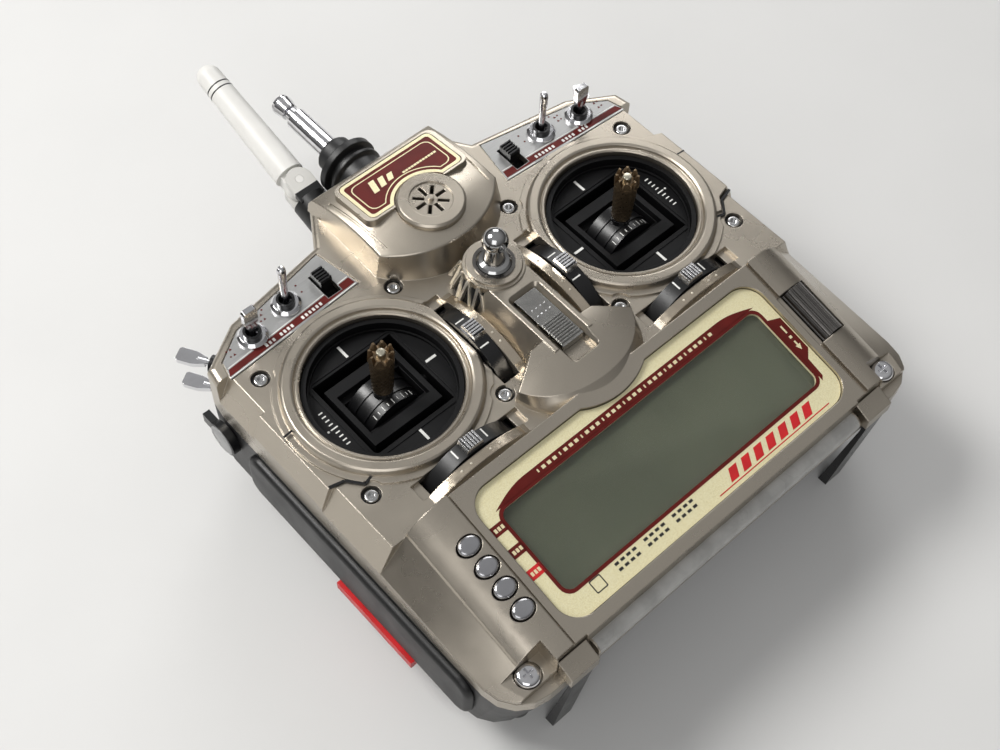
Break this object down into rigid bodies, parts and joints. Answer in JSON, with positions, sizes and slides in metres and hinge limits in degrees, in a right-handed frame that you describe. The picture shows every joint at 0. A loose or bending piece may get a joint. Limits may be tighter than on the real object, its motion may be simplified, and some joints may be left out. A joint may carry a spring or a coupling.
{
  "type": "radio transmitter controller",
  "caption": "Hand-held radio control transmitter with two gimbal sticks, trims, toggle switches, a sloping display, menu keys, a telescopic antenna and a folding antenna.",
  "frame": {"origin": "midway between the two sticks, on the plane that the back rests on", "axes": "+X to the user's right, +Y up the control face towards the antennas, +Z out of the control face"},
  "size_m": [0.1872, 0.2549, 0.0888],
  "materials": {
    "champagne": "satin champagne-gold metallic paint",
    "grip_shell": "textured",
    "black_plastic": "satin",
    "black_rubber": "soft satin",
    "chrome": "polished",
    "silver_plate": "brushed",
    "silver_plastic": "metallised",
    "bronze": "knurled, anodised",
    "label": "fine sparkle",
    "glass": "clear, dark",
    "module": "matte",
    "maroon": "gloss with a thin gold border",
    "red": "gloss",
    "board": "solder mask",
    "battery": "shrink sleeve",
    "white_rubber": "satin"
  },
  "bodies": {
    "case": {"antenna_mount": "black_rubber", "battery_pack": "battery", "corner_screws": "chrome", "deck_nuts": "chrome", "display_label": "label", "display_module": "module", "display_window": "glass", "foot_caps": "champagne", "front_case": "champagne", "gimbal_housing_left": "black_plastic", "gimbal_housing_right": "black_plastic", "gimbal_screws": "chrome", "loudspeaker": "black_plastic", "main_board": "board", "name_badge": "maroon", "rear_case": "grip_shell", "rf_module": "grip_shell", "shoulder_nuts": "black_plastic", "side_grips": "black_rubber", "side_inlays": "red", "speaker_grille": "champagne", "stand_legs": "black_plastic", "switch_plate_left": "silver_plate", "switch_plate_right": "silver_plate", "toggle_bodies": "black_plastic"},
    "cradle_left": {"gimbal_cradle_left": "black_plastic"},
    "stick_left": {"stick_left": "black_plastic", "stick_grip_left": "bronze"},
    "cradle_right": {"gimbal_cradle_right": "black_plastic"},
    "stick_right": {"stick_right": "black_plastic", "stick_grip_right": "bronze"},
    "trim_left_horizontal": {"trim_left_horizontal": "black_plastic"},
    "trim_right_horizontal": {"trim_right_horizontal": "black_plastic"},
    "trim_left_vertical": {"trim_left_vertical": "black_plastic"},
    "trim_right_vertical": {"trim_right_vertical": "black_plastic"},
    "long_toggle_left": {"long_toggle_left": "chrome"},
    "flat_toggle_left": {"flat_toggle_left": "chrome"},
    "upper_shoulder_toggle_left": {"upper_shoulder_toggle_left": "chrome"},
    "lower_shoulder_toggle_left": {"lower_shoulder_toggle_left": "chrome"},
    "thumb_slider_left": {"thumb_slider_left": "black_plastic"},
    "side_lever_left": {"side_lever_left": "black_plastic"},
    "long_toggle_right": {"long_toggle_right": "chrome"},
    "flat_toggle_right": {"flat_toggle_right": "chrome"},
    "upper_shoulder_toggle_right": {"upper_shoulder_toggle_right": "chrome"},
    "lower_shoulder_toggle_right": {"lower_shoulder_toggle_right": "chrome"},
    "thumb_slider_right": {"thumb_slider_right": "black_plastic"},
    "side_lever_right": {"side_lever_right": "black_plastic"},
    "power_slider": {"power_slider": "silver_plastic"},
    "strap_eyelet": {"strap_eyelet": "chrome"},
    "menu_key_1": {"menu_key_1": "silver_plastic"},
    "menu_key_2": {"menu_key_2": "silver_plastic"},
    "menu_key_3": {"menu_key_3": "silver_plastic"},
    "menu_key_4": {"menu_key_4": "silver_plastic"},
    "select_roller": {"select_roller": "silver_plastic"},
    "battery_cover": {"battery_cover": "grip_shell"},
    "antenna_tube": {"antenna_tube": "chrome"},
    "antenna_middle": {"antenna_middle": "chrome"},
    "antenna_tip": {"antenna_tip": "chrome"},
    "duck_holder": {"duck_holder": "black_plastic"},
    "duck_rod": {"duck_rod": "white_rubber"}
  },
  "joints": [
    {"name": "stick_left_up_down", "type": "hinge", "parent": "case", "child": "cradle_left", "pos_m": [-0.0518, 0, 0.048], "axis": [1, 0, 0], "range_deg": [-22, 22]},
    {"name": "stick_left_sideways", "type": "hinge", "parent": "cradle_left", "child": "stick_left", "pos_m": [-0.0518, 0, 0.048], "axis": [0, 1, 0], "range_deg": [-22, 22], "stiffness_Nm_per_rad": 0.03},
    {"name": "stick_right_up_down", "type": "hinge", "parent": "case", "child": "cradle_right", "pos_m": [0.0518, 0, 0.048], "axis": [1, 0, 0], "range_deg": [-22, 22], "stiffness_Nm_per_rad": 0.03},
    {"name": "stick_right_sideways", "type": "hinge", "parent": "cradle_right", "child": "stick_right", "pos_m": [0.0518, 0, 0.048], "axis": [0, 1, 0], "range_deg": [-22, 22], "stiffness_Nm_per_rad": 0.03},
    {"name": "trim_left_horizontal_turn", "type": "hinge", "parent": "case", "child": "trim_left_horizontal", "pos_m": [-0.0472, -0.0353, 0.0478], "axis": [0, 1, 0], "range_deg": [-12, 12], "stiffness_Nm_per_rad": 0.02},
    {"name": "trim_right_horizontal_turn", "type": "hinge", "parent": "case", "child": "trim_right_horizontal", "pos_m": [0.0472, -0.0353, 0.0478], "axis": [0, 1, 0], "range_deg": [-12, 12], "stiffness_Nm_per_rad": 0.02},
    {"name": "trim_left_vertical_turn", "type": "hinge", "parent": "case", "child": "trim_left_vertical", "pos_m": [-0.0198, -0.0057, 0.0478], "axis": [1, 0, 0], "range_deg": [-12, 12], "stiffness_Nm_per_rad": 0.02},
    {"name": "trim_right_vertical_turn", "type": "hinge", "parent": "case", "child": "trim_right_vertical", "pos_m": [0.0198, -0.0057, 0.0478], "axis": [1, 0, 0], "range_deg": [-12, 12], "stiffness_Nm_per_rad": 0.02},
    {"name": "long_toggle_left_flip", "type": "hinge", "parent": "case", "child": "long_toggle_left", "pos_m": [-0.0555, 0.0434, 0.0626], "axis": [1, 0, 0], "range_deg": [-13, 13]},
    {"name": "flat_toggle_left_flip", "type": "hinge", "parent": "case", "child": "flat_toggle_left", "pos_m": [-0.0708, 0.0405, 0.0626], "axis": [1, 0, 0], "range_deg": [-13, 13]},
    {"name": "upper_shoulder_toggle_left_flip", "type": "hinge", "parent": "case", "child": "upper_shoulder_toggle_left", "pos_m": [-0.08171, 0.04571, 0.0502], "axis": [0.8581, 0.5135, 0], "range_deg": [-13, 13]},
    {"name": "lower_shoulder_toggle_left_flip", "type": "hinge", "parent": "case", "child": "lower_shoulder_toggle_left", "pos_m": [-0.08171, 0.04571, 0.0354], "axis": [0.8581, 0.5135, 0], "range_deg": [-13, 13]},
    {"name": "thumb_slider_left_slide", "type": "slide", "parent": "case", "child": "thumb_slider_left", "axis": [0, 1, 0], "range_m": [-0.004, 0.0008]},
    {"name": "side_lever_left_turn", "type": "hinge", "parent": "case", "child": "side_lever_left", "pos_m": [-0.09, 0.032, 0.034], "axis": [1, 0, 0], "range_deg": [-25, 25]},
    {"name": "long_toggle_right_flip", "type": "hinge", "parent": "case", "child": "long_toggle_right", "pos_m": [0.0555, 0.0434, 0.0626], "axis": [1, 0, 0], "range_deg": [-13, 13]},
    {"name": "flat_toggle_right_flip", "type": "hinge", "parent": "case", "child": "flat_toggle_right", "pos_m": [0.0708, 0.0405, 0.0626], "axis": [1, 0, 0], "range_deg": [-13, 13]},
    {"name": "upper_shoulder_toggle_right_flip", "type": "hinge", "parent": "case", "child": "upper_shoulder_toggle_right", "pos_m": [0.08171, 0.04571, 0.0502], "axis": [-0.8581, 0.5135, 0], "range_deg": [-13, 13]},
    {"name": "lower_shoulder_toggle_right_flip", "type": "hinge", "parent": "case", "child": "lower_shoulder_toggle_right", "pos_m": [0.08171, 0.04571, 0.0354], "axis": [-0.8581, 0.5135, 0], "range_deg": [-13, 13]},
    {"name": "thumb_slider_right_slide", "type": "slide", "parent": "case", "child": "thumb_slider_right", "axis": [0, 1, 0], "range_m": [-0.004, 0.0008]},
    {"name": "side_lever_right_turn", "type": "hinge", "parent": "case", "child": "side_lever_right", "pos_m": [0.09, 0.032, 0.034], "axis": [1, 0, 0], "range_deg": [-25, 25]},
    {"name": "power_slide", "type": "slide", "parent": "case", "child": "power_slider", "axis": [0, 1, 0], "range_m": [-0.0035, 0]},
    {"name": "eyelet_swivel", "type": "hinge", "parent": "case", "child": "strap_eyelet", "pos_m": [0, 0.0068, 0.074], "axis": [0, 0, 1], "continuous": true},
    {"name": "menu_key_1_press", "type": "slide", "parent": "case", "child": "menu_key_1", "axis": [0, 0.2071, -0.9783], "range_m": [0, 0.001], "stiffness_N_per_m": 300},
    {"name": "menu_key_2_press", "type": "slide", "parent": "case", "child": "menu_key_2", "axis": [0, 0.2071, -0.9783], "range_m": [0, 0.001], "stiffness_N_per_m": 300},
    {"name": "menu_key_3_press", "type": "slide", "parent": "case", "child": "menu_key_3", "axis": [0, 0.2071, -0.9783], "range_m": [0, 0.001], "stiffness_N_per_m": 300},
    {"name": "menu_key_4_press", "type": "slide", "parent": "case", "child": "menu_key_4", "axis": [0, 0.2071, -0.9783], "range_m": [0, 0.001], "stiffness_N_per_m": 300},
    {"name": "roller_turn", "type": "hinge", "parent": "case", "child": "select_roller", "pos_m": [0.0712, -0.068, 0.05945], "axis": [0, 0.9783, 0.2071], "continuous": true},
    {"name": "battery_cover_slide", "type": "slide", "parent": "case", "child": "battery_cover", "axis": [0, -1, 0], "range_m": [0, 0.03]},
    {"name": "antenna_first_section", "type": "slide", "parent": "case", "child": "antenna_tube", "axis": [0, 1, 0], "range_m": [0, 0.1]},
    {"name": "antenna_second_section", "type": "slide", "parent": "antenna_tube", "child": "antenna_middle", "axis": [0, 1, 0], "range_m": [0, 0.13]},
    {"name": "antenna_third_section", "type": "slide", "parent": "antenna_middle", "child": "antenna_tip", "axis": [0, 1, 0], "range_m": [0, 0.13]},
    {"name": "duck_swivel", "type": "hinge", "parent": "case", "child": "duck_holder", "pos_m": [-0.015, 0.068, 0.038], "axis": [0.04, 0.9791, 0.1992], "range_deg": [-10, 90]},
    {"name": "duck_fold", "type": "hinge", "parent": "duck_holder", "child": "duck_rod", "pos_m": [-0.01402, 0.09209, 0.0429], "axis": [0, -0.1994, 0.9799], "range_deg": [0, 90]}
  ]
}
